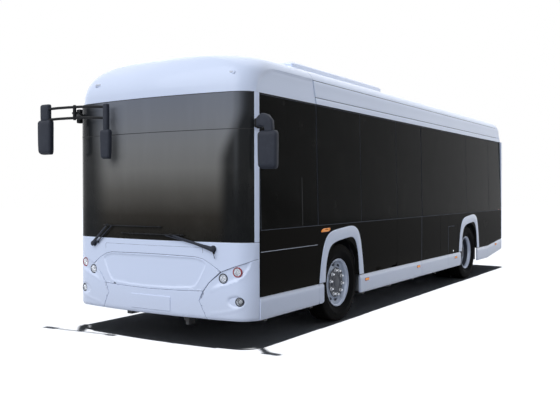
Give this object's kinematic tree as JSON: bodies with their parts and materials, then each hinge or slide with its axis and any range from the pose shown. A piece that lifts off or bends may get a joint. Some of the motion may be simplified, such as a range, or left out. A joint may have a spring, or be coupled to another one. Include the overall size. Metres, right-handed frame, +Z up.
{
  "type": "city bus",
  "caption": "Low-floor city bus with swinging door leaves, steered front wheels, twin rear tyres, roof unit, lifting front and rear hatches and a side service flap.",
  "frame": {"origin": "bottom centre of the overall bounding box, on the ground", "axes": "+X to the bus's left, +Y to its rear along the length, +Z up"},
  "size_m": [3.21, 9.89, 3.225],
  "materials": {
    "body_paint": "cool white gloss paint",
    "black_panel": "gloss black panel",
    "dark_trim": "satin dark grey plastic",
    "glass": "dark tinted glass",
    "tyre": "black rubber",
    "rim": "satin silver",
    "chassis": "black chassis paint",
    "lamp": "clear lamp lens over reflector",
    "tail_lamp": "red lamp lens",
    "seat": "blue seat fabric",
    "rail": "yellow coated tube",
    "cabin": "dark grey cabin plastic"
  },
  "bodies": {
    "body": {"underframe": "chassis", "cabin_floor": "cabin", "left_wall": "black_panel", "right_wall": "black_panel", "rear_wall": "body_paint", "roof_shell": "body_paint", "front_roof_cap": "body_paint", "roof_unit": "body_paint", "front_mask": "body_paint", "bumpers": "body_paint", "windshield": "glass", "windows": "glass", "side_skirts": "black_panel", "arch_trims": "body_paint", "rear_deck": "cabin", "wheel_boxes": "cabin", "headlamps": "lamp", "tail_lamps": "tail_lamp", "wipers": "dark_trim", "mirrors": "dark_trim", "driver_station": "cabin", "seats": "seat", "handrails": "rail", "front_axle": "chassis", "rear_axle": "chassis", "engine_block": "chassis"},
    "front_hatch": {"front_hatch": "body_paint"},
    "rear_hatch": {"rear_hatch": "body_paint"},
    "service_flap": {"service_flap": "black_panel"},
    "left_knuckle": {"left_knuckle": "chassis"},
    "right_knuckle": {"right_knuckle": "chassis"},
    "front_left_wheel": {"front_left_tyre": "tyre", "front_left_rim": "rim"},
    "front_right_wheel": {"front_right_tyre": "tyre", "front_right_rim": "rim"},
    "rear_left_wheels": {"rear_left_tyres": "tyre", "rear_left_rims": "rim"},
    "rear_right_wheels": {"rear_right_tyres": "tyre", "rear_right_rims": "rim"},
    "front_door_fore": {"front_door_fore_leaf": "dark_trim", "front_door_fore_glass": "glass"},
    "front_door_aft": {"front_door_aft_leaf": "dark_trim", "front_door_aft_glass": "glass"},
    "middle_door_fore": {"middle_door_fore_leaf": "dark_trim", "middle_door_fore_glass": "glass"},
    "middle_door_aft": {"middle_door_aft_leaf": "dark_trim", "middle_door_aft_glass": "glass"}
  },
  "joints": [
    {"name": "left_steer", "type": "hinge", "parent": "body", "child": "left_knuckle", "pos_m": [0.9675, -2.628, 0.479], "axis": [0, 0, 1], "range_deg": [-42, 42]},
    {"name": "right_steer", "type": "hinge", "parent": "body", "child": "right_knuckle", "pos_m": [-0.9675, -2.628, 0.479], "axis": [0, 0, 1], "range_deg": [-42, 42]},
    {"name": "front_left_spin", "type": "hinge", "parent": "left_knuckle", "child": "front_left_wheel", "pos_m": [1.0975, -2.628, 0.479], "axis": [1, 0, 0], "continuous": true},
    {"name": "front_right_spin", "type": "hinge", "parent": "right_knuckle", "child": "front_right_wheel", "pos_m": [-1.0975, -2.628, 0.479], "axis": [1, 0, 0], "continuous": true},
    {"name": "rear_left_spin", "type": "hinge", "parent": "body", "child": "rear_left_wheels", "pos_m": [0.9415, 2.512, 0.479], "axis": [1, 0, 0], "continuous": true},
    {"name": "rear_right_spin", "type": "hinge", "parent": "body", "child": "rear_right_wheels", "pos_m": [-0.9415, 2.512, 0.479], "axis": [1, 0, 0], "continuous": true},
    {"name": "front_door_fore_swing", "type": "hinge", "parent": "body", "child": "front_door_fore", "pos_m": [-1.229, -4.285, 1.3], "axis": [0, 0, -1], "range_deg": [0, 88]},
    {"name": "front_door_aft_swing", "type": "hinge", "parent": "body", "child": "front_door_aft", "pos_m": [-1.229, -3.295, 1.3], "axis": [0, 0, 1], "range_deg": [0, 88]},
    {"name": "middle_door_fore_swing", "type": "hinge", "parent": "body", "child": "middle_door_fore", "pos_m": [-1.229, -0.815, 1.3], "axis": [0, 0, -1], "range_deg": [0, 88]},
    {"name": "middle_door_aft_swing", "type": "hinge", "parent": "body", "child": "middle_door_aft", "pos_m": [-1.229, 0.335, 1.3], "axis": [0, 0, 1], "range_deg": [0, 88]},
    {"name": "front_hatch_lift", "type": "hinge", "parent": "body", "child": "front_hatch", "pos_m": [0, -4.69, 1.085], "axis": [-1, 0, 0], "range_deg": [0, 80]},
    {"name": "rear_hatch_lift", "type": "hinge", "parent": "body", "child": "rear_hatch", "pos_m": [0, 4.942, 1.222], "axis": [1, 0, 0], "range_deg": [0, 80]},
    {"name": "service_flap_lift", "type": "hinge", "parent": "body", "child": "service_flap", "pos_m": [1.276, 1.59, 1.005], "axis": [0, -1, 0], "range_deg": [0, 100]}
  ],
  "couplings": [
    {"joint": "right_steer", "follows": "left_steer", "ratio": 1}
  ]
}
